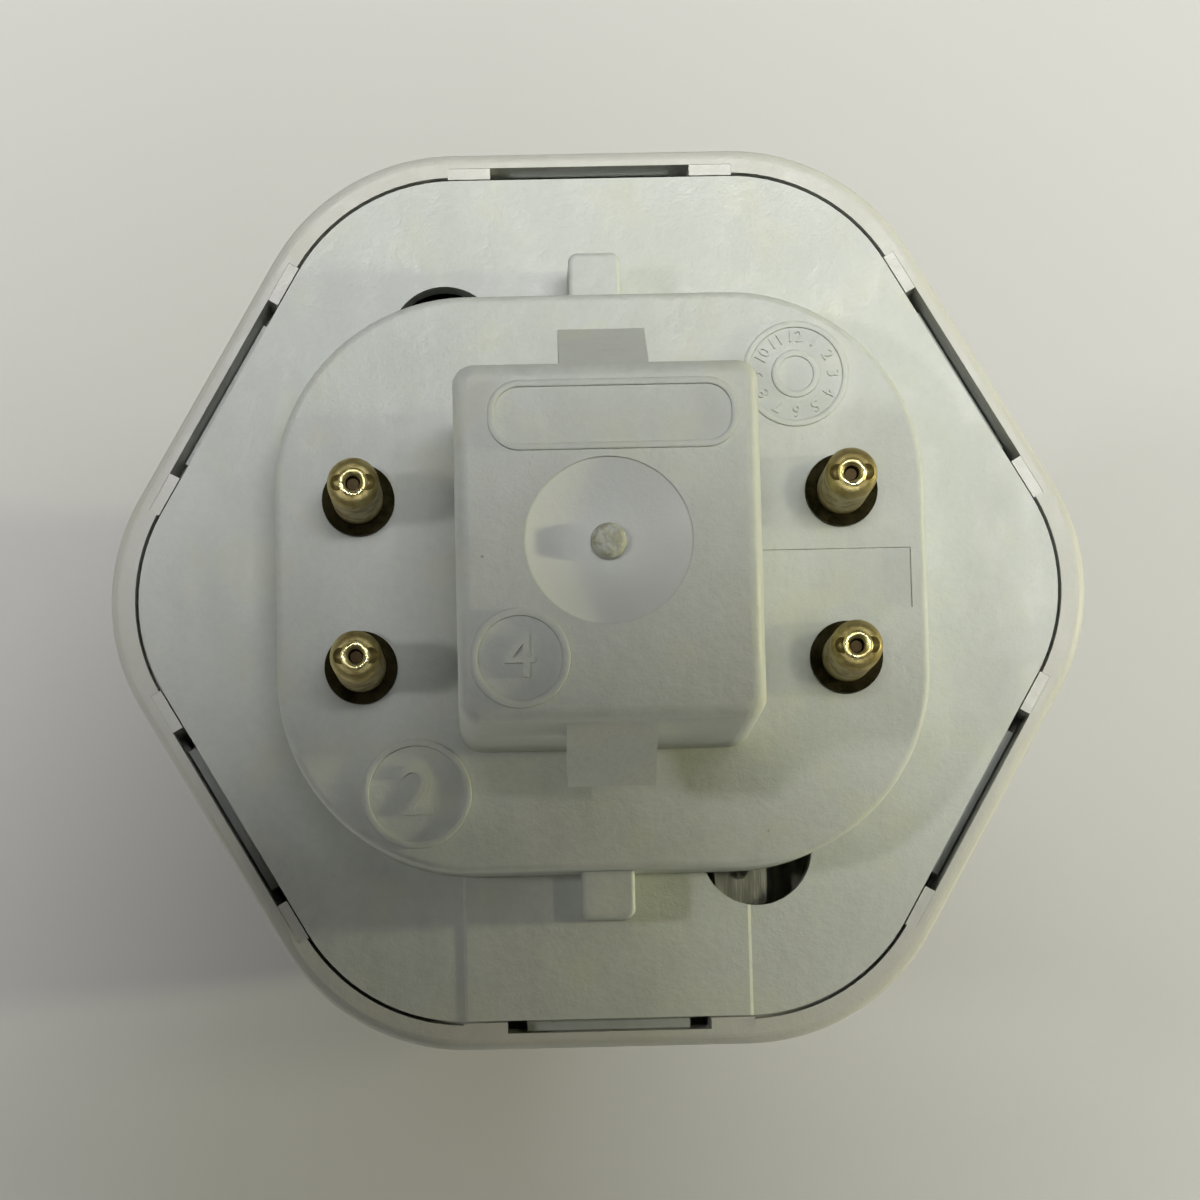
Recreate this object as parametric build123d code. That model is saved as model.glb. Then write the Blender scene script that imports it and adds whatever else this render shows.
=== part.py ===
"""Four-pin plug-in compact fluorescent lamp with three U-shaped tubes.

Frame, in millimetres: the origin is on the lamp's axis at the plinth face that meets the lampholder.
+Z points out of the cap along the contact pins, +X along their long spacing and +Y along their short one.
The glass hangs towards -Z.
"""
import os
from math import cos, radians, sin, tan

from build123d import *

# Contact pins
PIN_SPACING_X = 23.0
PIN_SPACING_Y = 8.0
PIN_DIAMETER = 2.4
PIN_LENGTH = 6.3
PIN_TIP_ROUND = 0.45
PIN_TIP_HOLE = 0.7
PIN_TIP_THICKNESS = 1.6
PIN_BORE = 1.3
PIN_SHANK_DIAMETER = 1.9
PIN_FLANGE_DIAMETER = 3.45
PIN_FLANGE_HEIGHT = 0.45
PIN_HEAD_DIAMETER = 3.3
PIN_HEAD_HEIGHT = 0.6
PIN_FIT = 0.02
CRIMP_DIAMETER = 1.4
CRIMP_DEPTH = 0.18
CRIMP_DENTS = 2
CRIMP_DENT_RADIUS = 0.4
CRIMP_DENT_RISE = 0.12

# Plinth of the cap
PLINTH_LENGTH = 31.0
PLINTH_WIDTH = 27.6
PLINTH_CORNER = 9.3
PLINTH_HEIGHT = 6.0
PLINTH_EDGE = 0.35
CAP_WALL = 1.8
KEY_WIDTH = 2.5
KEY_REACH = 2.25
KEY_DROP = 1.2
KEY_EDGE = 0.45
MARK_PANEL_WIDTH = 2.9
MARK_PANEL_DEPTH = 0.2
MARK_PANEL_Y = -0.2
MARK_PANEL_POST_GAP = 0.65
MARK_PANEL_EDGE_GAP = 0.75

# Plug post
POST_HEIGHT = 15.0
POST_TOP_LENGTH = 13.4
POST_TOP_WIDTH = 15.8
POST_CORNER = 0.9
POST_EDGE = 0.62
POST_DRAFT_ANGLE = 0.9
POST_WALL = 1.8
DISH_DIAMETER = 7.4
DISH_DEPTH = 0.7
DISH_STEP = 0.14
GATE_DIAMETER = 1.6
GATE_HEIGHT = 0.66

# Latch lugs on the post
LUG_WIDTH = 3.95
LUG_REACH = 2.5
LUG_START_DROP = 1.0
LUG_EDGE_DROP = 5.9
LUG_UNDERCUT = 1.2

# Lid
LID_THICKNESS = 1.8
LID_GAP = 0.18
LID_HOLE_DIAMETER = 5.4
LID_HOLE_X = 7.35
LID_HOLE_Y = 12.75
LID_LAND_WIDTH = 14.0
LID_LAND_HEIGHT = 0.085
LID_LAND_BEVEL = 0.15

# Collar
COLLAR_FLATS = 44.3
COLLAR_DEPTH = 16.0
COLLAR_FLOOR = 2.0
COLLAR_DRAFT_ANGLE = 1.2
RIM_WIDTH = 1.2
RIM_EDGE = 0.5
SEAT_WIDTH = 0.8
FLOOR_EDGE = 1.2

# Snap joint between the lid and the collar
NOTCH_WIDTH = 9.9
NOTCH_DEPTH = 0.44
NOTCH_DROP = 6.4
PAD_WIDTH = 2.1
PAD_STEP = 0.08
PAD_GAP = 0.08
CATCH_DROP = 3.6
CATCH_HEIGHT = 1.0
CATCH_REACH = 0.2
TONGUE_WIDTH = 8.0
TONGUE_RECESS = 2.3
TONGUE_THICKNESS = 1.0
TONGUE_CLEARANCE = 0.1
BARB_REACH = 0.25
BARB_HEIGHT = 1.2

# Glass, whose ring of six legs fills the collar with these gaps
LAMP_DEPTH = 111.0
LEG_GAP = 1.65
LEG_ROOM = 2.3
LEG_HOLE_CLEARANCE = 0.15
LEG_END_ROUND = 3.0
BRIDGE_DIAMETER = 7.0
BRIDGE_DROP = 6.0
SEAL_WIDTH = 7.6
SEAL_THICKNESS = 2.6
SEAL_HEIGHT = 2.2
TIP_DIAMETER = 3.6
TIP_HEIGHT = 2.6

# Cement and lead wires
CEMENT_DEPTH = 3.6
CEMENT_FIT = 0.03
WIRE_DIAMETER = 0.54
WIRE_EXIT_PITCH = 3.8
WIRE_LID_ROOM = 1.4
WIRE_EXIT_RISE = 1.6
WIRE_PIN_DROP = 3.0
WIRE_BEND = 1.3
WIRE_TIP_DROP = 0.7

# Levels and half sizes that follow from the values above
RIM_Z = -PLINTH_HEIGHT
FLOOR_Z = RIM_Z - COLLAR_DEPTH
LID_UNDER_Z = RIM_Z - LID_THICKNESS
RIM_OUT = COLLAR_FLATS / 2
RIM_IN = RIM_OUT - RIM_WIDTH
SEAT_IN = RIM_IN - SEAT_WIDTH
LID_OUT = RIM_IN - LID_GAP
NOTCH_OUT = RIM_IN + NOTCH_DEPTH
LEG_PITCH = (SEAT_IN - LEG_ROOM + LEG_GAP / 2) / (cos(radians(30)) + 0.5)
TUBE_R = (LEG_PITCH - LEG_GAP) / 2
COLLAR_CORNER = TUBE_R + LEG_ROOM + SEAT_WIDTH + RIM_WIDTH
WIRE_TURN_Z = LID_UNDER_Z - WIRE_LID_ROOM
SEAL_TOP_Z = WIRE_TURN_Z - WIRE_EXIT_RISE
LEG_END_Z = SEAL_TOP_Z - SEAL_HEIGHT
BEND_R = LEG_PITCH / 2
BEND_Z = -LAMP_DEPTH + TUBE_R + BEND_R

# Angles of the legs, at the corners of the hexagon; the legs of a pair share a U-bend or a bridge
LEG_ANGLES = [0, 60, 120, 180, 240, 300]
BEND_PAIR_ANGLES = [(300, 360), (60, 120), (180, 240)]
BRIDGE_PAIR_ANGLES = [(0, 60), (120, 180)]
SEALED_LEG_ANGLES = [300, 240]
TIP_LEG_ANGLE = 120

DOWN = (Align.CENTER, Align.CENTER, Align.MAX)
UP = (Align.CENTER, Align.CENTER, Align.MIN)


def rounded_hexagon(apothem, corner):
    """Hexagon with corners on the X axis, flats facing +Y and -Y, and rounded corners."""
    outline = RegularPolygon(apothem, 6, major_radius=False)
    return fillet(outline.vertices(), corner)


def collar_corner(apothem):
    """Corner radius of an outline parallel to the collar's rim."""
    return COLLAR_CORNER - (RIM_OUT - apothem)


def around_sides(shape):
    """Copies of a shape made at the +Y side, one for each side of the hexagon."""
    return [Rot(0, 0, 60 * side) * shape for side in range(6)]


def side_profile(points, width):
    """Solid at the +Y side: a profile in the Y-Z plane, given by (y, z) points, with a width along X."""
    face = make_face(Polyline(*points, close=True))
    return extrude(Plane.YZ * face, width / 2, both=True)


def leg_place(angle):
    """Centre of a glass leg in the X-Y plane."""
    return LEG_PITCH * cos(radians(angle)), LEG_PITCH * sin(radians(angle))


def pin_places():
    """Centres of the four pins, numbered anticlockwise from the +X +Y one."""
    x, y = PIN_SPACING_X / 2, PIN_SPACING_Y / 2
    return [(x, y), (-x, y), (-x, -y), (x, -y)]


def collar_cavity(inset):
    """Space inside the collar from its rim to its floor, in the collar's own frame."""
    apothem = SEAT_IN - inset
    return extrude(rounded_hexagon(apothem, collar_corner(apothem)), COLLAR_FLOOR - COLLAR_DEPTH,
                   taper=COLLAR_DRAFT_ANGLE)


def make_base_collar():
    """Hexagonal cup with a seat for the lid, a notch and catch in each side, and six holes for the legs."""
    outer = extrude(rounded_hexagon(RIM_OUT, COLLAR_CORNER), -COLLAR_DEPTH, taper=COLLAR_DRAFT_ANGLE)
    outer = fillet(outer.edges().group_by(Axis.Z)[-1], RIM_EDGE)
    outer = fillet(outer.edges().group_by(Axis.Z)[0], FLOOR_EDGE)
    mouth = extrude(rounded_hexagon(RIM_IN, collar_corner(RIM_IN)), -LID_THICKNESS)
    collar = outer - mouth - collar_cavity(0)

    # Pads beside each notch stand closer to the lid than the rim does and lie a fine step below it
    pad_in, pad_span = LID_OUT + PAD_GAP, NOTCH_WIDTH + 2 * PAD_WIDTH
    lands = Pos(0, pad_in, 0) * Box(pad_span, NOTCH_OUT - pad_in, LID_THICKNESS,
                                    align=(Align.CENTER, Align.MIN, Align.MAX))
    steps = Pos(0, pad_in, 0) * Box(pad_span, NOTCH_OUT - pad_in, 2 * PAD_STEP,
                                    align=(Align.CENTER, Align.MIN, Align.CENTER))
    notch_in = SEAT_IN - SEAT_WIDTH
    notch = Pos(0, notch_in, 0) * Box(NOTCH_WIDTH, NOTCH_OUT - notch_in, NOTCH_DROP,
                                      align=(Align.CENTER, Align.MIN, Align.MAX))
    catch = side_profile([(NOTCH_OUT, -CATCH_DROP), (NOTCH_OUT - CATCH_REACH, -CATCH_DROP - CATCH_REACH),
                          (NOTCH_OUT - CATCH_REACH, -CATCH_DROP - CATCH_HEIGHT),
                          (NOTCH_OUT, -CATCH_DROP - CATCH_HEIGHT)], NOTCH_WIDTH)
    collar += around_sides(lands)
    collar -= around_sides(steps)
    collar -= around_sides(notch)
    collar += around_sides(catch)

    leg_hole = Cylinder(TUBE_R + LEG_HOLE_CLEARANCE, COLLAR_FLOOR, align=UP)
    collar -= [Pos(*leg_place(angle), -COLLAR_DEPTH) * leg_hole for angle in LEG_ANGLES]
    return Pos(0, 0, RIM_Z) * collar


def make_post():
    """Drafted hollow post with rounded edges, a dished end with its gate mark, and two latch lugs."""
    spread = 2 * POST_HEIGHT * tan(radians(POST_DRAFT_ANGLE))
    foot = RectangleRounded(POST_TOP_LENGTH + spread, POST_TOP_WIDTH + spread, POST_CORNER + spread / 2)
    post = extrude(foot, POST_HEIGHT, taper=POST_DRAFT_ANGLE)
    post = fillet(post.edges().group_by(Axis.Z)[-1], POST_EDGE)

    bowl_depth = DISH_DEPTH - DISH_STEP
    bowl_radius = ((DISH_DIAMETER / 2) ** 2 + bowl_depth ** 2) / (2 * bowl_depth)
    bowl = Pos(0, 0, POST_HEIGHT - DISH_DEPTH + bowl_radius) * Sphere(bowl_radius)
    post -= bowl & Pos(0, 0, POST_HEIGHT) * Cylinder(DISH_DIAMETER / 2, 2 * DISH_DEPTH)
    gate = Pos(0, 0, POST_HEIGHT - DISH_DEPTH) * Cylinder(GATE_DIAMETER / 2, 2 * GATE_HEIGHT)
    post += fillet(gate.edges().group_by(Axis.Z)[-1], GATE_HEIGHT / 2)

    face_y = POST_TOP_WIDTH / 2
    edge_z = POST_HEIGHT - LUG_EDGE_DROP
    lug = side_profile([(face_y - POST_WALL / 2, POST_HEIGHT - LUG_START_DROP),
                        (face_y, POST_HEIGHT - LUG_START_DROP),
                        (face_y + LUG_REACH, edge_z),
                        (face_y, edge_z - LUG_UNDERCUT),
                        (face_y - POST_WALL / 2, edge_z - LUG_UNDERCUT)], LUG_WIDTH)
    return post + [lug, Rot(0, 0, 180) * lug]


def make_tongue():
    """Snap tongue under the lid's +Y edge: a shoulder that fills the notch and a barb under the catch."""
    shoulder_z = -CATCH_DROP + TONGUE_CLEARANCE
    barb_z = -CATCH_DROP - CATCH_HEIGHT - TONGUE_CLEARANCE
    shoulder = NOTCH_OUT - TONGUE_CLEARANCE
    back = shoulder - CATCH_REACH
    front = back - TONGUE_THICKNESS
    return side_profile([(front, -LID_THICKNESS), (LID_OUT, -LID_THICKNESS), (LID_OUT, -TONGUE_RECESS),
                         (shoulder, -TONGUE_RECESS), (shoulder, shoulder_z), (back, shoulder_z),
                         (back, barb_z), (back + BARB_REACH, barb_z), (back, barb_z - BARB_HEIGHT),
                         (front, barb_z - BARB_HEIGHT)], TONGUE_WIDTH)


def make_lid_land():
    """Slightly raised land with bevelled sides, from the plinth's wall to the lid's -Y edge."""
    foot, top, start = LID_LAND_WIDTH / 2, LID_LAND_WIDTH / 2 - LID_LAND_BEVEL, PLINTH_WIDTH / 2 - CAP_WALL
    profile = make_face(Polyline((-foot, -LID_THICKNESS), (foot, -LID_THICKNESS), (foot, 0), (top, LID_LAND_HEIGHT),
                                 (-top, LID_LAND_HEIGHT), (-foot, 0), close=True))
    return Pos(0, -start, 0) * extrude(Plane.XZ * profile, LID_OUT - start)


def make_mark_panel():
    """Cutter for the shallow recess between the post's foot and the plinth's +X edge."""
    start = POST_TOP_LENGTH / 2 + POST_HEIGHT * tan(radians(POST_DRAFT_ANGLE)) + MARK_PANEL_POST_GAP
    end = PLINTH_LENGTH / 2 - MARK_PANEL_EDGE_GAP
    return Pos(start, MARK_PANEL_Y, 0) * Box(end - start, MARK_PANEL_WIDTH, 2 * MARK_PANEL_DEPTH,
                                             align=(Align.MIN, Align.CENTER, Align.CENTER))


def make_base_cap():
    """Lid, plinth, keys, post and snap tongues as one moulding with an even wall, open to the collar."""
    lid = extrude(rounded_hexagon(LID_OUT, collar_corner(LID_OUT)), -LID_THICKNESS)
    cap = Pos(0, 0, RIM_Z) * (lid + make_lid_land() + around_sides(make_tongue()))

    plinth = extrude(RectangleRounded(PLINTH_LENGTH, PLINTH_WIDTH, PLINTH_CORNER), -PLINTH_HEIGHT)
    cap += fillet(plinth.edges().group_by(Axis.Z)[-1], PLINTH_EDGE)
    key = Box(KEY_WIDTH, KEY_REACH + CAP_WALL, PLINTH_HEIGHT - KEY_DROP,
              align=(Align.CENTER, Align.MIN, Align.MAX))
    key = Pos(0, PLINTH_WIDTH / 2 - CAP_WALL, -KEY_DROP) * key
    key = fillet(key.faces().sort_by(Axis.Y)[-1].edges().filter_by(Axis.Z), KEY_EDGE)
    key = fillet(key.edges().group_by(Axis.Z)[-1], KEY_EDGE / 2)
    cap += [key, Rot(0, 0, 180) * key]
    cap += make_post()
    cap -= make_mark_panel()

    hollow = extrude(RectangleRounded(PLINTH_LENGTH - 2 * CAP_WALL, PLINTH_WIDTH - 2 * CAP_WALL,
                                      PLINTH_CORNER - CAP_WALL), CAP_WALL + LID_UNDER_Z)
    cap -= Pos(0, 0, -CAP_WALL) * hollow
    core_top = POST_HEIGHT - POST_WALL - DISH_DEPTH
    core = RectangleRounded(POST_TOP_LENGTH - 2 * POST_WALL, POST_TOP_WIDTH - 2 * POST_WALL, POST_CORNER)
    cap -= Pos(0, 0, core_top) * extrude(core, -core_top - CAP_WALL, taper=-POST_DRAFT_ANGLE)

    hole = Cylinder(LID_HOLE_DIAMETER / 2, LID_THICKNESS + LID_LAND_HEIGHT, align=UP)
    hole = Pos(LID_HOLE_X, -LID_HOLE_Y, LID_UNDER_Z) * hole
    cap -= [hole, Rot(0, 0, 180) * hole]
    shank_hole = Cylinder(PIN_SHANK_DIAMETER / 2 + PIN_FIT, CAP_WALL, align=DOWN)
    cap -= [Pos(x, y, 0) * shank_hole for x, y in pin_places()]
    return cap


def make_contact_pin():
    """Hollow turned pin on the Z axis: a crimped end, a flange, a slim shank and a swaged head."""
    pin_r, bore_r, hole_r, crimp_r = PIN_DIAMETER / 2, PIN_BORE / 2, PIN_TIP_HOLE / 2, CRIMP_DIAMETER / 2
    flange_r, shank_r, head_r = PIN_FLANGE_DIAMETER / 2, PIN_SHANK_DIAMETER / 2, PIN_HEAD_DIAMETER / 2
    head_z = -CAP_WALL - PIN_HEAD_HEIGHT
    tip_under_z = PIN_LENGTH - PIN_TIP_THICKNESS
    profile = make_face(Polyline(
        (hole_r, PIN_LENGTH - CRIMP_DEPTH), (crimp_r, PIN_LENGTH), (pin_r, PIN_LENGTH),
        (pin_r, PIN_FLANGE_HEIGHT), (flange_r, PIN_FLANGE_HEIGHT), (flange_r, 0), (shank_r, 0),
        (shank_r, -CAP_WALL), (head_r, -CAP_WALL), (head_r, head_z), (bore_r, head_z),
        (bore_r, tip_under_z), (hole_r, tip_under_z + bore_r - hole_r), close=True))
    tip_corner = profile.vertices().sort_by(Axis.Y)[-2:].sort_by(Axis.X)[-1]
    pin = revolve(Plane.XZ * fillet(tip_corner, PIN_TIP_ROUND), Axis.Z)
    dent = Pos(crimp_r, 0, PIN_LENGTH + CRIMP_DENT_RISE) * Sphere(CRIMP_DENT_RADIUS)
    return pin - [Rot(0, 0, 360 * turn / CRIMP_DENTS) * dent for turn in range(CRIMP_DENTS)]


def make_u_bend(first, second):
    """Half ring of glass that joins the far ends of two legs."""
    (x0, y0), (x1, y1) = leg_place(first), leg_place(second)
    half_ring = revolve(Pos(BEND_R, 0, 0) * Circle(TUBE_R), Axis.Y, 180)
    return Pos((x0 + x1) / 2, (y0 + y1) / 2, BEND_Z) * Rot(0, 0, (first + second) / 2 + 90) * half_ring


def make_discharge_tube():
    """Three U-shaped tubes joined by two bridges, with two electrode seals and one exhaust tip."""
    leg = Cylinder(TUBE_R, LEG_END_Z - BEND_Z, align=DOWN)
    leg = fillet(leg.edges().group_by(Axis.Z)[-1], LEG_END_ROUND)
    glass = [Pos(*leg_place(angle), LEG_END_Z) * leg for angle in LEG_ANGLES]
    glass += [make_u_bend(first, second) for first, second in BEND_PAIR_ANGLES]

    bridge = Rot(90, 0, 0) * Cylinder(BRIDGE_DIAMETER / 2, LEG_PITCH)
    apothem = LEG_PITCH * cos(radians(30))
    glass += [Rot(0, 0, (first + second) / 2) * Pos(apothem, 0, FLOOR_Z - BRIDGE_DROP) * bridge
              for first, second in BRIDGE_PAIR_ANGLES]

    seal_foot = RectangleRounded(SEAL_THICKNESS, SEAL_WIDTH, SEAL_THICKNESS / 3)
    seal = extrude(seal_foot, LEG_END_ROUND + SEAL_HEIGHT)
    glass += [Pos(*leg_place(angle), LEG_END_Z - LEG_END_ROUND) * seal for angle in SEALED_LEG_ANGLES]
    tip = Cylinder(TIP_DIAMETER / 2, TIP_HEIGHT + LEG_END_ROUND, align=UP)
    tip = fillet(tip.edges().group_by(Axis.Z)[-1], TIP_DIAMETER / 3)
    glass.append(Pos(*leg_place(TIP_LEG_ANGLE), LEG_END_Z - LEG_END_ROUND) * tip)
    return glass[0].fuse(*glass[1:])


def make_tube_cement():
    """Layer cast on the collar's floor around the six legs."""
    floor_z = COLLAR_FLOOR - COLLAR_DEPTH
    slab = Pos(0, 0, floor_z) * Box(2 * COLLAR_FLATS, 2 * COLLAR_FLATS, CEMENT_DEPTH, align=UP)
    leg_hole = Cylinder(TUBE_R + CEMENT_FIT, CEMENT_DEPTH, align=UP)
    cement = collar_cavity(CEMENT_FIT) & slab
    cement -= [Pos(*leg_place(angle), floor_z) * leg_hole for angle in LEG_ANGLES]
    return Pos(0, 0, RIM_Z) * cement


def make_lead_wire(pin_x, pin_y):
    """Wire from an electrode seal up into the bore of a pin on the same side of the lamp."""
    leg_x, leg_y = next(leg_place(angle) for angle in SEALED_LEG_ANGLES if leg_place(angle)[0] * pin_x > 0)
    exit_y = leg_y + (WIRE_EXIT_PITCH / 2 if pin_y > 0 else -WIRE_EXIT_PITCH / 2)
    under_pin_z = -CAP_WALL - PIN_HEAD_HEIGHT - WIRE_PIN_DROP
    route = FilletPolyline((leg_x, exit_y, SEAL_TOP_Z), (leg_x, exit_y, WIRE_TURN_Z),
                           (pin_x, pin_y, under_pin_z), (pin_x, pin_y, PIN_LENGTH - WIRE_TIP_DROP),
                           radius=WIRE_BEND)
    return sweep(Plane(route @ 0, z_dir=route % 0) * Circle(WIRE_DIAMETER / 2), route)


def main():
    nodes = {
        "base_cap": make_base_cap(),
        "base_collar": make_base_collar(),
        "discharge_tube": make_discharge_tube(),
        "tube_cement": make_tube_cement(),
    }
    pin = make_contact_pin()
    for number, (x, y) in enumerate(pin_places(), start=1):
        nodes[f"contact_pin_{number}"] = Pos(x, y, 0) * pin
        nodes[f"lead_wire_{number}"] = make_lead_wire(x, y)

    os.makedirs("parts", exist_ok=True)
    for name, solid in nodes.items():
        export_step(solid, f"parts/{name}.step")


if __name__ == "__main__":
    main()
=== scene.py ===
# %% [markdown]
# # A plug-in fluorescent lamp, looking down on its cap
#
# The lamp stands on its three glass bends with the cap on top, and the view is almost straight down on
# the four brass pins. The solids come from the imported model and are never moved. This lesson adds what a
# solid cannot hold: the finish of each surface, a few marks of the mould, the uneven ends of the pins,
# the light and the camera.

# %% Load the frame
import math

import bpy
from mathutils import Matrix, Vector


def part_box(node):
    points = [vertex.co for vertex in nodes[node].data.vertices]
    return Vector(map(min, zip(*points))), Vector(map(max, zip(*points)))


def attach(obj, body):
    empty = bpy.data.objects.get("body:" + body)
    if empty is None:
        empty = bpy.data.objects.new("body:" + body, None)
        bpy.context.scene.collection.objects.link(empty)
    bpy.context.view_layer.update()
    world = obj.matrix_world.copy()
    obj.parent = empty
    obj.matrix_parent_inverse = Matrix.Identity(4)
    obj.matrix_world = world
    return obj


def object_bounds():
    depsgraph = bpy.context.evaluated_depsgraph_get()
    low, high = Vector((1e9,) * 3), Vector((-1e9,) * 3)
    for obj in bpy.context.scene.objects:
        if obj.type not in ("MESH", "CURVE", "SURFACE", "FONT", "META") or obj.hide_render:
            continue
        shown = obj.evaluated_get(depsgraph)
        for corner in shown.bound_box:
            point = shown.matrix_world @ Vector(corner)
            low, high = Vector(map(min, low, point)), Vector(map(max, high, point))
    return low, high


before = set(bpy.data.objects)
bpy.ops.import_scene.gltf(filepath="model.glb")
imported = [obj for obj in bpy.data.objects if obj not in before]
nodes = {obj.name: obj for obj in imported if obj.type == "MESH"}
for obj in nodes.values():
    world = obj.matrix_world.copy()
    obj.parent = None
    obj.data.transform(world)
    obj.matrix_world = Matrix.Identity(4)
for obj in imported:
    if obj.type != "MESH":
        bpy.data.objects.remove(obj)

MM = 0.001
cad_low, cad_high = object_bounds()
print("solids:", ", ".join(sorted(nodes)))
print("size in mm:", [round((high - low) / MM, 2) for low, high in zip(cad_low, cad_high)])

# %% [markdown]
# ## The camera
#
# The picture was taken by hand, about 18 cm above the cap and a little towards the viewer, so one sees
# the near wall of the post. A long lens from far away would hide that wall, so the lens and the distance
# are both matched. Depth of field stays off, because the other views reuse this camera.

# %% Camera
CAMERA_PLACE = Vector((-4.13, -20.41, 176.62)) * MM
CAMERA_TURN = [math.radians(angle) for angle in (6.302, -1.15, -1.365)]
SENSOR_WIDTH = 36.0
LENS = 112.2
NEAREST_SEEN = 10 * MM

bpy.ops.object.select_all(action="DESELECT")
bpy.ops.object.camera_add(location=CAMERA_PLACE, rotation=CAMERA_TURN)
camera = bpy.context.object
camera.name = "hand_held_camera"
camera.data.sensor_width = SENSOR_WIDTH
camera.data.lens = LENS
camera.data.clip_start = NEAREST_SEEN
bpy.context.scene.camera = camera
bpy.context.scene.view_settings.view_transform = "Standard"
print("camera height over the plinth in mm:", round(CAMERA_PLACE.z / MM, 1))

# %% [markdown]
# ## Shader maths as Python
#
# Node graphs are quick to wire by hand and slow to read back. `Signal` wraps one output socket, so that a
# mask can be written as an expression such as `1 - mask * 0.5`, and each operator adds its Math node.
# Every other kind of node comes from `node`: its settings are set first, because they can change which
# sockets it has, and then its inputs, each a plain value or another signal.

# %% A socket that does arithmetic
class Signal:
    """One output socket of a shader graph."""

    def __init__(self, tree, socket=None):
        self.tree = tree
        self.socket = socket

    def node(self, kind, settings=None, inputs=None, output=0):
        made = self.tree.nodes.new(kind)
        for name, value in (settings or {}).items():
            setattr(made, name, value)
        for name, value in (inputs or {}).items():
            if isinstance(value, Signal):
                self.tree.links.new(value.socket, made.inputs[name])
            else:
                made.inputs[name].default_value = value
        return Signal(self.tree, made.outputs[output] if made.outputs else None)

    def maths(self, operation, first, second):
        return self.node("ShaderNodeMath", {"operation": operation}, {0: first, 1: second})

    def __add__(self, other):
        return self.maths("ADD", self, other)

    def __radd__(self, other):
        return self.maths("ADD", other, self)

    def __sub__(self, other):
        return self.maths("SUBTRACT", self, other)

    def __rsub__(self, other):
        return self.maths("SUBTRACT", other, self)

    def __mul__(self, other):
        return self.maths("MULTIPLY", self, other)

    def __rmul__(self, other):
        return self.maths("MULTIPLY", other, self)


print("a Signal knows:", "+ - *")

# %% [markdown]
# ## The floor and the room
#
# A lamp of this kind is looked at on a bench, with a pale bench top below and pale walls around. A pale
# room also throws a lot of light on the sides of the cap, which are quite dark in a room lit from above.
# So the floor and the walls have one colour for the camera, and for the mirror images in brass and glass,
# and another for the light that they shed. The Light Path node tells these rays apart. Away from the lamp
# the floor fades into the colour of the wall, as a paper sweep does, so no horizon shows. The world's
# colour follows only the height of the direction.

# %% Rays that see the background
SEEING_RAYS = ("Is Camera Ray", "Is Glossy Ray", "Is Transmission Ray")


def seen(start):
    """1 for a ray that shows the background or its mirror image, 0 for one that gathers light."""
    rays = [start.node("ShaderNodeLightPath", output=ray) for ray in SEEING_RAYS]
    camera_ray, glossy_ray, passing_ray = rays
    return camera_ray + glossy_ray + passing_ray


print("rays that see the background:", ", ".join(SEEING_RAYS))

# %% Blends and soft steps
def blend_colours(mask, plain, marked):
    """Colour that goes from plain to marked as the mask goes from 0 to 1."""
    return mask.node("ShaderNodeMix", {"data_type": "RGBA"}, {0: mask, 6: plain, 7: marked}, output=2)


def rise(value, low, high):
    """0 below low, 1 above high and a smooth step between them."""
    return value.node("ShaderNodeMapRange", {"interpolation_type": "SMOOTHSTEP"},
                      {"Value": value, "From Min": low, "From Max": high})


print("mask helpers: blend_colours, rise")

# %% Pale floor
FLOOR_SIZE = 6.0
FLOOR_SEEN = (0.48, 0.48, 0.47, 1.0)
FLOOR_SHED = (0.50, 0.50, 0.47, 1.0)
FLOOR_ROUGHNESS = 0.8
WALL_SEEN = (0.60, 0.60, 0.56, 1.0)
SWEEP_SHED = (0.03, 0.03, 0.022, 1.0)
FADE_FROM, FADE_TO = 0.20, 0.90

bpy.ops.object.select_all(action="DESELECT")
bpy.ops.mesh.primitive_plane_add(size=FLOOR_SIZE, location=(0, 0, cad_low[2]))
floor = bpy.context.object
floor.name = "bench_top"
floor_paint = bpy.data.materials.new("bench_top_paint")
floor_paint.use_nodes = True
floor_paint.node_tree.nodes.clear()
bench = Signal(floor_paint.node_tree)
bench_colour = blend_colours(seen(bench), FLOOR_SHED, FLOOR_SEEN)
sweep_colour = blend_colours(seen(bench), SWEEP_SHED, WALL_SEEN)
bench_shader = bench.node("ShaderNodeBsdfPrincipled", inputs={"Base Color": bench_colour,
                                                              "Roughness": FLOOR_ROUGHNESS})
sweep_shader = bench.node("ShaderNodeEmission", inputs={"Color": sweep_colour})
spot = bench.node("ShaderNodeTexCoord", output="Object")
reach = bench.node("ShaderNodeVectorMath", {"operation": "LENGTH"}, {0: spot}, output="Value")
faded = rise(reach, FADE_FROM, FADE_TO)
floor_shader = bench.node("ShaderNodeMixShader", inputs={0: faded, 1: bench_shader, 2: sweep_shader})
bench.node("ShaderNodeOutputMaterial", inputs={"Surface": floor_shader})
floor.data.materials.append(floor_paint)
print("floor at z in mm:", round(cad_low[2] / MM, 2))

# %% Walls and ceiling of the room
WALL_SHED = (0.27, 0.265, 0.195, 1.0)
CEILING_GLOW = (0.048, 0.046, 0.036, 1.0)
WALL_ENDS = 0.05
CEILING_STARTS = 0.30


def along(place, axis):
    """One coordinate of a place or direction."""
    return place.node("ShaderNodeSeparateXYZ", inputs={"Vector": place}, output=axis)


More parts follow.
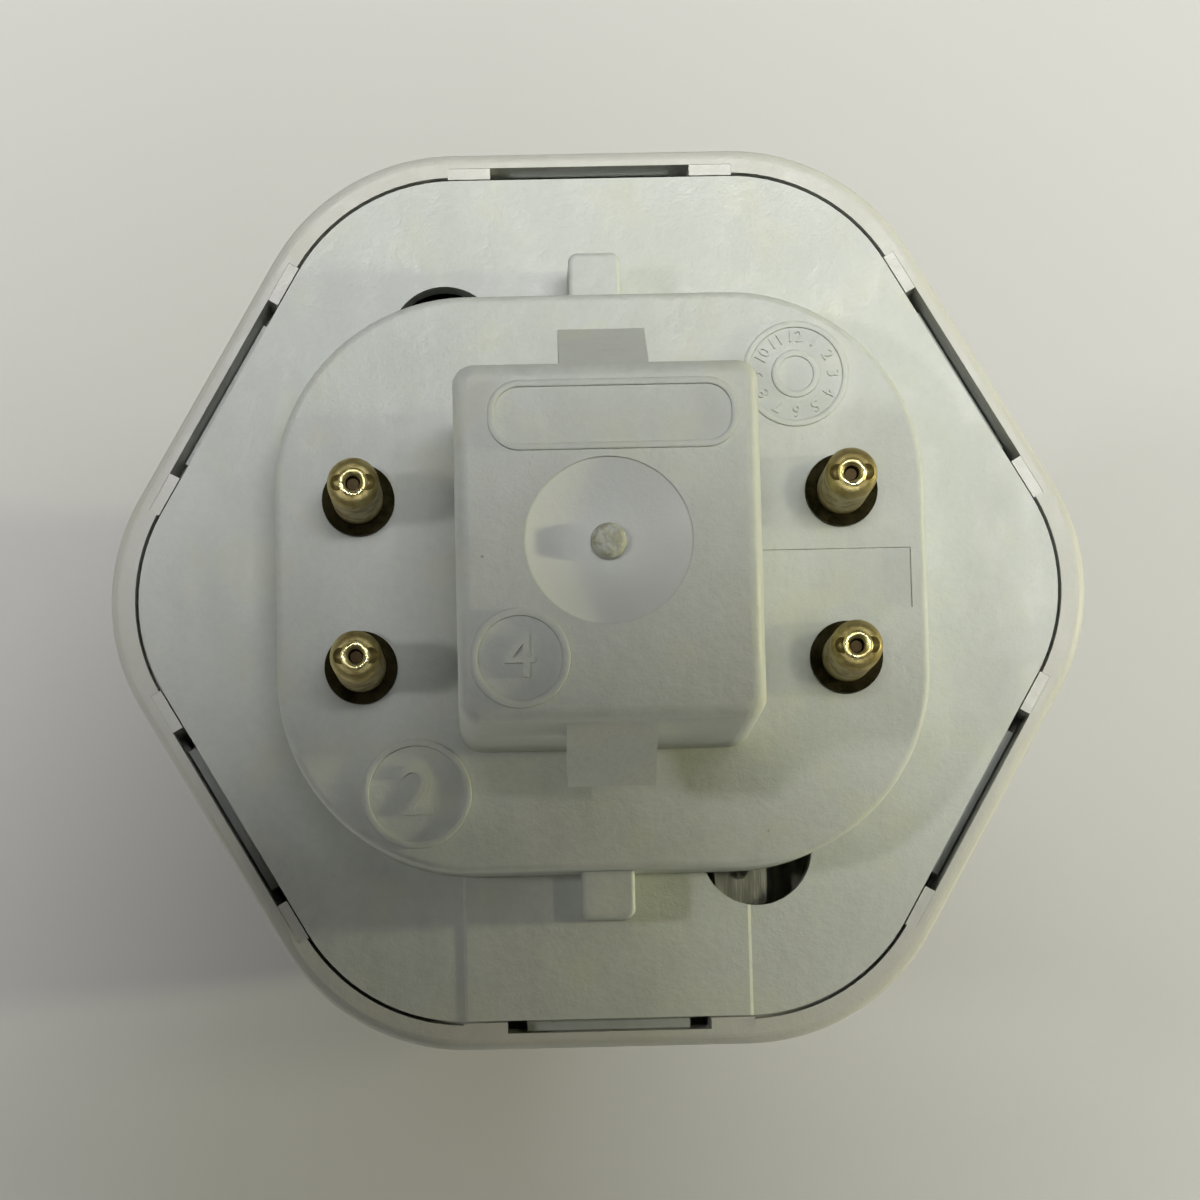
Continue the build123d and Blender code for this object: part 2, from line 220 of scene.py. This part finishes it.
world = bpy.data.worlds.new("bench_room")
world.use_nodes = True
world.node_tree.nodes.clear()
room = Signal(world.node_tree)
direction = room.node("ShaderNodeTexCoord", output="Generated")
overhead = rise(along(direction, "Z"), WALL_ENDS, CEILING_STARTS)
walls = blend_colours(seen(room), WALL_SHED, WALL_SEEN)
room_colour = blend_colours(overhead, walls, CEILING_GLOW)
room_shader = room.node("ShaderNodeBackground", inputs={"Color": room_colour})
room.node("ShaderNodeOutputWorld", inputs={"Surface": room_shader})
bpy.context.scene.world = world
print("walls seen and shed:", WALL_SEEN[:3], WALL_SHED[:3])

# %% [markdown]
# ## The lamps
#
# One panel on the ceiling gives most of the light. A dark card just above the camera, about as large as
# the hand and the camera itself, takes that light from the middle and the near side of the cap. A weak
# window on the far right is there for the polished faces that mirror it. Three small lamps draw the crisp
# shadows: a steep and a low one from the right, both warm, and a whiter one from the left. Card and lamps
# are hidden from the camera, because other views look past them.

# %% Panel, window and small lamps
PANEL_PLACE = Vector((0.084, -0.027, 1.20))
PANEL_SIZE = (0.470, 0.421)
WINDOW_PLACE = Vector((0.11, 0.205, 1.20))
WINDOW_SIZE = (0.28, 0.25)
SMALL_LAMP = (0.05, 0.05)
CAP_CENTRE = Vector((0.0, 0.0, 0.0))
LAMPS = [
    # Name, place, point that it faces, size, power in watts and colour
    ("ceiling_panel", PANEL_PLACE, PANEL_PLACE.xy.to_3d(), PANEL_SIZE, 22.4, (0.985, 0.98, 0.975)),
    ("far_window", WINDOW_PLACE, CAP_CENTRE, WINDOW_SIZE, 0.3, (1.0, 1.0, 1.0)),
    ("steep_right_lamp", Vector((0.29, 0.0, 1.01)), CAP_CENTRE, SMALL_LAMP, 1.0, (1.0, 0.96, 0.62)),
    ("low_right_lamp", Vector((0.843, 0.0, 0.111)), CAP_CENTRE, SMALL_LAMP, 3.6, (1.0, 0.96, 0.60)),
    ("left_lamp", Vector((-0.371, 0.0, 0.594)), CAP_CENTRE, SMALL_LAMP, 0.60, (1.0, 0.97, 0.95)),
]


def add_lamp(name, place, aim, size, power, colour):
    """Rectangular area light at a place, turned to face a point."""
    bpy.ops.object.select_all(action="DESELECT")
    turn = (place - aim).to_track_quat("Z", "Y").to_euler()
    bpy.ops.object.light_add(type="AREA", location=place, rotation=turn)
    lamp = bpy.context.object
    lamp.name = name
    lamp.visible_camera = False
    lamp.data.shape = "RECTANGLE"
    lamp.data.size, lamp.data.size_y = size
    lamp.data.energy = power
    lamp.data.color = colour
    print(f"{name}: {power:.2f} W")


for values in LAMPS:
    add_lamp(*values)

# %% Dark card
CARD_HEIGHT = 186 * MM
CARD_LEFT, CARD_RIGHT = -37.8 * MM, 52.3 * MM
CARD_NEAR, CARD_FAR = -170.0 * MM, 18.0 * MM
CARD_COLOUR = (0.02, 0.02, 0.02, 1.0)

bpy.ops.object.select_all(action="DESELECT")
card_place = ((CARD_LEFT + CARD_RIGHT) / 2, (CARD_NEAR + CARD_FAR) / 2, CARD_HEIGHT)
bpy.ops.mesh.primitive_plane_add(size=1.0, location=card_place)
bpy.ops.transform.resize(value=(CARD_RIGHT - CARD_LEFT, CARD_FAR - CARD_NEAR, 1.0))
card = bpy.context.object
card.name = "dark_card"
card.visible_camera = False
card_paint = bpy.data.materials.new("dark_card_paint")
card_paint.use_nodes = True
card_paint.node_tree.nodes["Principled BSDF"].inputs["Base Color"].default_value = CARD_COLOUR
card.data.materials.append(card_paint)
print("card size in mm:", [round(side / MM, 1) for side in card.dimensions.xy])

# %% [markdown]
# ## Helpers for the finishes
#
# All patterns read Object coordinates, which are metres in the lamp's own frame because every piece sits
# at the origin. They are scaled to millimetres first, so a noise can be asked for by the size of its
# blotches.

# %% Patterns in millimetres
def start_finish(name):
    """New material with an empty graph: the material, its first signal and the place on the piece in mm."""
    material = bpy.data.materials.new(name)
    material.use_nodes = True
    material.node_tree.nodes.clear()
    start = Signal(material.node_tree)
    metres = start.node("ShaderNodeTexCoord", output="Object")
    place = start.node("ShaderNodeVectorMath", {"operation": "SCALE"}, {0: metres, "Scale": 1 / MM})
    return material, start, place


def stretch(place, scale):
    """Place with each axis scaled, which makes a pattern long along the axes with small numbers."""
    return place.node("ShaderNodeVectorMath", {"operation": "MULTIPLY"}, {0: place, 1: scale})


def noise(place, size, detail=2.0, rough=0.5):
    """Cloudy value around 0.5 with blotches of about the given size in mm."""
    return place.node("ShaderNodeTexNoise", inputs={"Vector": place, "Scale": 1 / size, "Detail": detail,
                                                    "Roughness": rough})


def relief(height, depth):
    """Normal of a surface with a pattern of the given depth in mm."""
    return height.node("ShaderNodeBump", inputs={"Height": height, "Distance": depth * MM})


def close_finish(start, inputs):
    """Principled shader with these inputs, wired to the material's output."""
    shader = start.node("ShaderNodeBsdfPrincipled", inputs=inputs)
    start.node("ShaderNodeOutputMaterial", inputs={"Surface": shader})


print("pattern helpers: stretch, noise, relief")

# %% [markdown]
# ## Moulded plastic
#
# Cap and collar are injection moulded in a white, slightly grey-green plastic that has aged a little. Its
# mould was spark-eroded, so the skin has a very fine grain that breaks the gloss into a satin. Close up
# there are cloudy differences in tint and gloss where the melt flowed, yellowed patches, and a few dark
# specks of burnt material. The grain is too fine to model, so bump draws it. One function makes every
# plastic finish, because they differ only in tint and in how mottled they are. Three small places stand
# out: the pads of the collar and the dish of the post are smoother, and the stub where the melt came in
# is broken off rough. The dish is also painted lighter, which is painted light for the light it gets.

# %% Places on the plastic
SPECK_SPACING = 2.6
SPECK_RADIUS = 0.09
RARE_FROM, RARE_TO = 0.80, 0.82
PAD_LEVEL = -6.08
PAD_BAND = 0.03
DISC_EDGE = 0.1


def make_specks(place):
    """Mask of small round specks, one in every fifth cell or so."""
    cell = {"Vector": place, "Scale": 1 / SPECK_SPACING}
    distance = place.node("ShaderNodeTexVoronoi", inputs=cell, output="Distance")
    chance = along(place.node("ShaderNodeTexVoronoi", inputs=cell, output="Color"), "X")
    outside = rise(distance * SPECK_SPACING, SPECK_RADIUS * 0.5, SPECK_RADIUS)
    return (1 - outside) * rise(chance, RARE_FROM, RARE_TO)


def make_pads(level):
    """Mask of the polished faces beside the notches, which all lie at one level."""
    return rise(level, PAD_LEVEL - PAD_BAND, PAD_LEVEL) * (1 - rise(level, PAD_LEVEL, PAD_LEVEL + PAD_BAND))


def axis_distance(place):
    """Distance from the lamp's axis."""
    flat = stretch(place, (1.0, 1.0, 0.0))
    return place.node("ShaderNodeVectorMath", {"operation": "LENGTH"}, {0: flat}, output="Value")


def make_disc(place, radius, level):
    """Mask of a round place on the axis, above a level."""
    outside = rise(axis_distance(place), radius - DISC_EDGE, radius)
    return (1 - outside) * rise(along(place, "Z"), level, level + DISC_EDGE)


print("pads at z in mm:", PAD_LEVEL)

# %% Plastic for the cap and the collar
CLOUD, PATCH, FLOW, PEEL, GRAIN = 5.0, 3.2, 1.5, 0.45, 0.14
DISH_RADIUS, DISH_LEVEL = 3.7, 14.15
STUB_RADIUS, STUB_LEVEL = 0.85, 14.35
SPECK_COLOUR = (0.14, 0.13, 0.10, 1.0)
STUB_COLOUR = (0.47, 0.48, 0.37, 1.0)
SKIN_DEPTH = 0.04


def tinted(colour, red, green, blue):
    """Colour with each channel scaled."""
    return (colour[0] * red, colour[1] * green, colour[2] * blue, 1.0)


def make_plastic(name, colour, mottle):
    material, start, place = start_finish(name)
    cloud = noise(place, CLOUD, detail=4.0, rough=0.6)
    flow = noise(stretch(place, (1.0, 0.4, 1.0)), FLOW, detail=4.0)
    peel = noise(place, PEEL, detail=2.0, rough=0.55)
    grain = noise(place, GRAIN, detail=2.0, rough=0.6)
    stub = make_disc(place, STUB_RADIUS, STUB_LEVEL)
    dish = make_disc(place, DISH_RADIUS, DISH_LEVEL) * (1 - stub)
    smooth = 0.35 * make_pads(along(place, "Z")) + 0.3 * dish

    tint = rise(cloud, 0.3, 0.7) * 0.40 + rise(flow, 0.35, 0.65) * 0.35 + rise(peel, 0.35, 0.65) * 0.25
    dim = 1.03 - 0.15 * mottle
    yellowed = rise(noise(place, PATCH), 0.50, 0.72) * (0.5 * mottle)
    base = blend_colours(tint, tinted(colour, dim, dim, dim), tinted(colour, 1.03, 1.03, 1.03))
    base = blend_colours(yellowed, base, tinted(colour, 1.02, 1.0, 0.88))
    # Painted light: the dish is painted lighter than the rest of the post top, standing in for the light that
    # falls into it.
    base = blend_colours(dish * 0.8, base, tinted(colour, 1.18, 1.16, 1.18))
    base = blend_colours(make_specks(place) * 0.6, base, SPECK_COLOUR)
    base = blend_colours(stub * rise(peel, 0.25, 0.65), base, STUB_COLOUR)
    gloss = 0.40 + 0.12 * rise(flow, 0.35, 0.65) + 0.10 * rise(peel, 0.4, 0.7)
    skin = (grain * 0.35 + peel * 0.65 + flow * 0.8) * (1 - 0.8 * smooth) + 4.0 * stub * peel
    close_finish(start, {"Base Color": base, "Roughness": gloss * (1 - 0.65 * smooth),
                         "Normal": relief(skin, SKIN_DEPTH)})
    return material


cap_plastic = make_plastic("cap_plastic_finish", (0.612, 0.645, 0.616), mottle=1.0)
collar_plastic = make_plastic("collar_plastic_finish", (0.60, 0.605, 0.565), mottle=0.5)
print("plastic nodes:", len(cap_plastic.node_tree.nodes))

# %% [markdown]
# ## Brass
#
# The pins are turned from brass and have been handled and heated. The shank is a dull gold with brown
# patches. The flange at its foot and the lowest part of the shank are painted almost black, which is painted
# shade there and a painted dark reflection in the flat flange. The tip is painted a yellower gold, a painted
# sheen for its brighter highlights. Fine turning rings run round the shank, which a wave along Z draws as
# bump. Only the lip around the hole, a piece of its own further down, is still bright. Both finishes start
# from the same patches, so the lip looks as if it belonged to the pin.

# %% Brass of the pins
RING_PITCH = 0.16
FOOT_SHADE_FULL, FOOT_SHADE_END = 0.47, 0.95
TIP_SHEEN_FROM, TIP_SHEEN_TO = 4.6, 5.9
BRASS_RELIEF = 0.012


def brass_patches(place):
    """Masks of brown patches and of fine scratches."""
    return rise(noise(place, 0.8, detail=4.0, rough=0.65), 0.38, 0.62), noise(place, 0.12, detail=2.0)


def make_brass():
    material, start, place = start_finish("pin_brass_finish")
    level = along(place, "Z")
    tarnish, scratches = brass_patches(place)
    rings = start.node("ShaderNodeMath", {"operation": "SINE"}, {0: level * (2 * math.pi / RING_PITCH)})
    # Painted shade: the flange and the lowest shank are painted almost black, for the shade at the foot and
    # the dark reflection in the flange.
    foot = 1 - rise(level, FOOT_SHADE_FULL, FOOT_SHADE_END)
    # Painted sheen: the tip is painted a yellower gold, standing in for its brighter highlights.
    painted_tip_sheen = rise(level, TIP_SHEEN_FROM, TIP_SHEEN_TO) * 0.35
    base = blend_colours(tarnish, (0.35, 0.305, 0.145, 1.0), (0.19, 0.142, 0.055, 1.0))
    base = blend_colours(painted_tip_sheen, base, (0.46, 0.39, 0.17, 1.0))
    painted_foot_shade = blend_colours(tarnish, (0.010, 0.009, 0.003, 1.0), (0.036, 0.030, 0.014, 1.0))
    gloss = 0.48 + 0.10 * tarnish + 0.06 * scratches + 0.06 * foot
    close_finish(start, {"Base Color": blend_colours(foot, base, painted_foot_shade), "Metallic": 1.0, "Roughness": gloss,
                         "Normal": relief(rings * 0.2 + scratches + tarnish, BRASS_RELIEF)})
    return material


pin_brass = make_brass()
print("brass nodes:", len(pin_brass.node_tree.nodes))

# %% Bright brass of the lips
def make_bright_brass():
    material, start, place = start_finish("bright_brass_finish")
    tarnish, scratches = brass_patches(place)
    base = blend_colours(tarnish * 0.7, (1.0, 0.91, 0.50, 1.0), (0.62, 0.50, 0.18, 1.0))
    close_finish(start, {"Base Color": base, "Metallic": 1.0, "Roughness": 0.24 + 0.15 * tarnish,
                         "Normal": relief(scratches, BRASS_RELIEF)})
    return material


bright_brass = make_bright_brass()
print("bright brass nodes:", len(bright_brass.node_tree.nodes))

# %% [markdown]
# ## Coated glass
#
# The tubes are white because of the powder on their inner wall, and that wall lies under a millimetre of
# clear glass. A white base under a clear coat gives that depth without tracing rays through glass. The
# ends inside the collar hold no powder: plain ends look dark, and the two ends on the near side, which
# were pressed flat over the wires, carry flutes. Their light grey is painted light, standing in for the light
# that reaches the one of them which shows through a hole in the lid.

# %% Glass of the tubes
POWDER_FROM = -15.5
POWDER_FULL = -17.5
PRESSED_SIDE = -2.0
CLEAR_GLASS = (0.03, 0.03, 0.03, 1.0)
FLUTE_DEPTH = 0.16


def make_glass():
    material, start, place = start_finish("coated_glass_finish")
    bare = rise(along(place, "Z"), POWDER_FULL, POWDER_FROM)
    pressed = 1 - rise(along(place, "Y"), PRESSED_SIDE, -PRESSED_SIDE)
    powder = noise(place, 3.0, detail=4.0)
    flutes = noise(stretch(place, (1.0, 0.15, 0.15)), 0.6, detail=3.0)
    white = blend_colours(rise(powder, 0.3, 0.7), (0.83, 0.84, 0.82, 1.0), (0.86, 0.87, 0.85, 1.0))
    # Painted light: the pressed ends are painted a light grey, standing in for the light that reaches them in
    # the dim hole.
    flutes_with_painted_light = blend_colours(rise(flutes, 0.35, 0.65), (0.36, 0.36, 0.28, 1.0), (0.72, 0.72, 0.58, 1.0))
    clear = blend_colours(pressed, CLEAR_GLASS, flutes_with_painted_light)
    gloss = 0.35 + 0.10 * bare
    close_finish(start, {"Base Color": blend_colours(bare, white, clear), "Roughness": gloss,
                         "Coat Weight": 1 - 0.9 * bare, "Coat Roughness": 0.06,
                         "Normal": relief(flutes * bare, FLUTE_DEPTH)})
    return material


coated_glass = make_glass()
print("glass nodes:", len(coated_glass.node_tree.nodes))

# %% [markdown]
# ## Wire and cement
#
# Both lie inside the closed base and hardly show. The wire is drawn, so its scratches run along it. Its end
# in the pin is painted dark brown, a painted shade for the deep hole that it sits in. The cement is a gritty
# plaster.

# %% Wire and cement
WIRE_SHADE_FROM, WIRE_SHADE_FULL = 2.0, 5.0
GRIT_DEPTH = 0.12


def make_wire():
    material, start, place = start_finish("lead_wire_finish")
    scratches = noise(stretch(place, (6.0, 6.0, 0.4)), 0.6, detail=3.0)
    # Painted shade: the wire is painted dark brown up inside the pin, where the hole is in shade.
    painted_hole_shade = rise(along(place, "Z"), WIRE_SHADE_FROM, WIRE_SHADE_FULL)
    base = blend_colours(rise(scratches, 0.3, 0.7), (0.45, 0.44, 0.42, 1.0), (0.68, 0.67, 0.64, 1.0))
    base = blend_colours(painted_hole_shade, base, (0.09, 0.065, 0.035, 1.0))
    gloss = 0.30 + 0.2 * scratches + 0.2 * painted_hole_shade
    close_finish(start, {"Base Color": base, "Metallic": 1.0, "Roughness": gloss})
    return material


def make_cement():
    material, start, place = start_finish("cement_finish")
    grit = noise(place, 0.4, detail=5.0, rough=0.7)
    base = blend_colours(rise(grit, 0.3, 0.7), (0.55, 0.53, 0.47, 1.0), (0.76, 0.74, 0.68, 1.0))
    close_finish(start, {"Base Color": base, "Roughness": 0.85 + 0.1 * grit,
                         "Normal": relief(grit, GRIT_DEPTH)})
    return material


lead_wire = make_wire()
cement = make_cement()
print("inner finishes:", lead_wire.name, cement.name)

# %% [markdown]
# ## Dressing the solids
#
# The solids keep their meshes and only their material slots change. A node's name says what it is made
# of.

# %% Finishes on the solids
FINISHES = {"base_cap": cap_plastic, "base_collar": collar_plastic, "discharge_tube": coated_glass,
            "tube_cement": cement, "contact_pin": pin_brass, "lead_wire": lead_wire}

for name, solid in sorted(nodes.items()):
    kind = name.rstrip("_1234")
    for slot in solid.material_slots:
        slot.material = FINISHES[kind]
    print(name, "wears", FINISHES[kind].name)

# %% [markdown]
# ## Marks of the mould
#
# The steel inserts that shape the cap leave low ribs on it: outlines of inserts, cavity numbers and a
# date dial. They stand about a fifth of a millimetre proud. Bump alone would vanish from the exported
# mesh, so they are modelled: a flat primitive is rounded and inset, its middle is deleted, and the rib
# that is left is extruded and bevelled. Each mark starts a little below the skin that carries it, so no
# two faces lie in one plane.

# %% Low ribs
RIB_HEIGHT = 0.18 * MM
RIB_ROOT = 0.04 * MM
RIB_EDGE, RIB_EDGE_STEPS = 0.05 * MM, 2
RING_SIDES = 72


def raise_faces():
    """Extrude every face of the mesh in edit mode into a low rib with outward faces."""
    bpy.ops.mesh.select_all(action="SELECT")
    bpy.ops.mesh.extrude_region_move(TRANSFORM_OT_translate={"value": (0, 0, RIB_HEIGHT + RIB_ROOT)})
    bpy.ops.mesh.select_all(action="SELECT")
    bpy.ops.mesh.normals_make_consistent(inside=False)
    bpy.ops.object.mode_set(mode="OBJECT")


def soften(piece):
    """Bevel the sharp edges as a worn mould leaves them."""
    edge = piece.modifiers.new("worn_edge", "BEVEL")
    edge.width = RIB_EDGE
    edge.segments = RIB_EDGE_STEPS
    edge.limit_method = "ANGLE"
    bpy.ops.object.modifier_apply(modifier=edge.name)


def hollow_out(rib):
    """Inset the one face of the mesh in edit mode and delete its middle."""
    bpy.ops.mesh.select_all(action="SELECT")
    bpy.ops.mesh.inset(thickness=rib)
    bpy.ops.mesh.delete(type="FACE")


def ring_rib(place, radius, rib):
    """Round rib, left selected and active."""
    bpy.ops.object.select_all(action="DESELECT")
    bpy.ops.mesh.primitive_circle_add(vertices=RING_SIDES, radius=radius, fill_type="NGON", location=place)
    bpy.ops.object.mode_set(mode="EDIT")
    hollow_out(rib)
    raise_faces()
    soften(bpy.context.object)
    return bpy.context.object


print("rib height in mm:", round(RIB_HEIGHT / MM, 2))

# %% [markdown]
# Figures come from the text tool, because its outlines are ready to extrude once they are a mesh. Several
# ribs that belong to one mark are joined, so that each mark is one piece.

# %% Raised numbers
CURVE_STEPS = 4
SAME_POINT = 0.002 * MM


def number_rib(text, place, size, turn):
    """Raised number, left selected and active."""
    bpy.ops.object.select_all(action="DESELECT")
    bpy.ops.object.text_add(location=place, rotation=(0, 0, turn))
    label = bpy.context.object
    label.data.body = text
    label.data.size = size
    label.data.align_x = "CENTER"
    label.data.align_y = "CENTER"
    label.data.resolution_u = CURVE_STEPS
    bpy.ops.object.convert(target="MESH")
    bpy.ops.object.mode_set(mode="EDIT")
    bpy.ops.mesh.select_all(action="SELECT")
    bpy.ops.mesh.remove_doubles(threshold=SAME_POINT)
    raise_faces()
    return bpy.context.object


def join_all(pieces):
    """One piece from several, with the place of each put into its mesh."""
    bpy.ops.object.select_all(action="DESELECT")
    for piece in pieces:
        piece.select_set(True)
    bpy.context.view_layer.objects.active = pieces[0]
    bpy.ops.object.transform_apply(location=True, rotation=True, scale=True)
    bpy.ops.object.join()
    return bpy.context.object


print("steps along each curve of a figure:", CURVE_STEPS)

# %% [markdown]
# Every new piece ends in the same way. Its place goes into its mesh, so that it sits at the origin like
# the solids and its finish reads the same coordinates, and then it rides with the lamp.

# %% Handing a piece over
SMOOTH_BELOW = math.radians(40)


def hand_over(piece, name, finish=cap_plastic):
    """Put the piece's place in its mesh, name it, give it a finish and let it ride with the lamp."""
    bpy.ops.object.transform_apply(location=True, rotation=True, scale=True)
    bpy.ops.object.shade_smooth_by_angle(angle=SMOOTH_BELOW)
    piece.name = name
    piece.data.materials.clear()
    piece.data.materials.append(finish)
    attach(piece, "root")
    print(name, "faces:", len(piece.data.polygons))


print("edges stay sharp above degrees:", round(math.degrees(SMOOTH_BELOW)))

# %% [markdown]
# ### Date dial and cavity number
#
# A date dial is a small turned insert with the months round it, and a cavity number says which of several
# equal moulds made the piece. Both are put together from the same rings and figures, and hold plain
# numbers only.

# %% Date dial on the plinth
PLINTH_TOP = 0.0
DIAL_PLACE = (9.5, 9.7)
DIAL_RADIUS = 2.55 * MM
DIAL_RIB = 0.30 * MM
DIAL_FIGURE = 0.80 * MM
DIAL_HUB, DIAL_MONTHS = 0.45, 0.70


def on_top(place, top):
    """Point just below the skin at a level, for a place in mm."""
    return Vector((place[0] * MM, place[1] * MM, top - RIB_ROOT))


dial_centre = on_top(DIAL_PLACE, PLINTH_TOP)
dial = [ring_rib(dial_centre, DIAL_RADIUS, DIAL_RIB), ring_rib(dial_centre, DIAL_RADIUS * DIAL_HUB, DIAL_RIB)]
for month in range(1, 13):
    turn = math.radians(90 - 30 * month)
    reach = Vector((math.cos(turn), math.sin(turn), 0)) * DIAL_RADIUS * DIAL_MONTHS
    dial.append(number_rib(str(month), dial_centre + reach, DIAL_FIGURE, turn - math.pi / 2))
hand_over(join_all(dial), "date_dial")

# %% Cavity number on the plinth and on the post
POST_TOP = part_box("base_cap")[1].z
CAVITY_RINGS = [("plinth_cavity_number", (-9.0, -10.0), PLINTH_TOP, 2.6, "2"),
                ("post_cavity_number", (-4.0, -5.1), POST_TOP, 2.2, "4")]
CAVITY_RIB = 0.35 * MM
CAVITY_FIGURE = 1.3

for name, place, top, radius, figure in CAVITY_RINGS:
    centre = on_top(place, top)
    ring = ring_rib(centre, radius * MM, CAVITY_RIB)
    number = number_rib(figure, centre, radius * CAVITY_FIGURE * MM, 0.0)
    hand_over(join_all([ring, number]), name)

# %% [markdown]
# ### Outline of an exchangeable insert
#
# A steel insert that the moulder can swap leaves a thin frame on the plastic. The place inside it is
# bare. A plane whose corners are bevelled as points has this long round outline in one step, and the rib
# then comes from the same tools as the rings.

# %% Insert frame on the post
FRAME_PLACE = (0.3, 5.55)
FRAME_LENGTH, FRAME_WIDTH, FRAME_CORNER = 11.0 * MM, 3.1 * MM, 1.4 * MM
FRAME_CORNER_STEPS = 10
FRAME_RIB = 0.30 * MM

bpy.ops.object.select_all(action="DESELECT")
bpy.ops.mesh.primitive_plane_add(size=1.0, location=on_top(FRAME_PLACE, POST_TOP))
bpy.ops.object.mode_set(mode="EDIT")
bpy.ops.transform.resize(value=(FRAME_LENGTH, FRAME_WIDTH, 1.0))
bpy.ops.mesh.bevel(offset=FRAME_CORNER, segments=FRAME_CORNER_STEPS, affect="VERTICES")
hollow_out(FRAME_RIB)
raise_faces()
soften(bpy.context.object)
hand_over(bpy.context.object, "post_insert_frame")

# %% [markdown]
# ### Stub of the gate
#
# The melt enters the mould at the middle of the dish. When the sprue is snapped off, a ragged stub stays
# behind, a little higher than the round foot that the solid has there. A cylinder is bevelled and cut
# into more faces, and its points are scattered with a fixed seed, so that it comes out the same each
# time.

# %% Gate stub on the post
STUB_FOOT, STUB_SIDES = 0.66 * MM, 18
STUB_HEIGHT = 0.40 * MM
STUB_TOP = 0.02 * MM
STUB_EDGE = 0.10 * MM
STUB_SCATTER, STUB_SEED = 0.045 * MM, 3

bpy.ops.object.select_all(action="DESELECT")
bpy.ops.mesh.primitive_cylinder_add(vertices=STUB_SIDES, radius=STUB_FOOT, depth=STUB_HEIGHT,
                                    location=(0, 0, POST_TOP + STUB_TOP - STUB_HEIGHT / 2))
stub = bpy.context.object
bpy.ops.object.mode_set(mode="EDIT")
bpy.ops.mesh.select_all(action="SELECT")
bpy.ops.mesh.bevel(offset=STUB_EDGE, segments=2, affect="EDGES")
bpy.ops.mesh.subdivide(number_cuts=1)
bpy.ops.transform.vertex_random(offset=STUB_SCATTER, seed=STUB_SEED)
bpy.ops.object.mode_set(mode="OBJECT")
hand_over(stub, "gate_stub")

# %% [markdown]
# ## Staked ends of the pins
#
# A punch closes the end of each pin over its wire and leaves an uneven, burnished lip around the hole. A
# torus gives the round of it. It is flattened, its points are scattered with a fixed seed, and a
# subdivision surface rounds what the scatter left sharp. The lip is modelled once. Its copies are turned,
# so that no two look alike, and each keeps a mesh of its own.

# %% One lip
LIP_RADIUS, LIP_SIDES = 0.56 * MM, 26
LIP_ROUND, LIP_ROUND_SIDES = 0.17 * MM, 8
LIP_FLATNESS = 0.6
LIP_SCATTER, LIP_SEED = 0.075 * MM, 2

bpy.ops.object.select_all(action="DESELECT")
bpy.ops.mesh.primitive_torus_add(major_radius=LIP_RADIUS, minor_radius=LIP_ROUND,
                                 major_segments=LIP_SIDES, minor_segments=LIP_ROUND_SIDES)
lip = bpy.context.object
bpy.ops.object.mode_set(mode="EDIT")
bpy.ops.transform.resize(value=(1.0, 1.0, LIP_FLATNESS))
bpy.ops.transform.vertex_random(offset=LIP_SCATTER, seed=LIP_SEED)
bpy.ops.mesh.vertices_smooth(factor=0.5, repeat=1)
bpy.ops.object.mode_set(mode="OBJECT")
rounding = lip.modifiers.new("rounding", "SUBSURF")
rounding.levels = 2
bpy.ops.object.modifier_apply(modifier=rounding.name)
print("faces of one lip:", len(lip.data.polygons))

# %% Lips around the four holes
PIN_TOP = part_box("contact_pin_1")[1].z
PIN_X, PIN_Y = 11.5 * MM, 4.0 * MM
PIN_PLACES = [(PIN_X, PIN_Y, 0), (-PIN_X, PIN_Y, 140), (-PIN_X, -PIN_Y, 250), (PIN_X, -PIN_Y, 60)]
LIP_SINK = 0.03 * MM

lips = [lip]
for _ in PIN_PLACES[1:]:
    bpy.ops.object.duplicate(linked=False)
    lips.append(bpy.context.object)
for number, (piece, (x, y, turn)) in enumerate(zip(lips, PIN_PLACES), start=1):
    bpy.ops.object.select_all(action="DESELECT")
    piece.select_set(True)
    bpy.context.view_layer.objects.active = piece
    piece.location = (x, y, PIN_TOP - LIP_SINK)
    piece.rotation_euler.z = math.radians(turn)
    hand_over(piece, f"pin_lip_{number}", bright_brass)
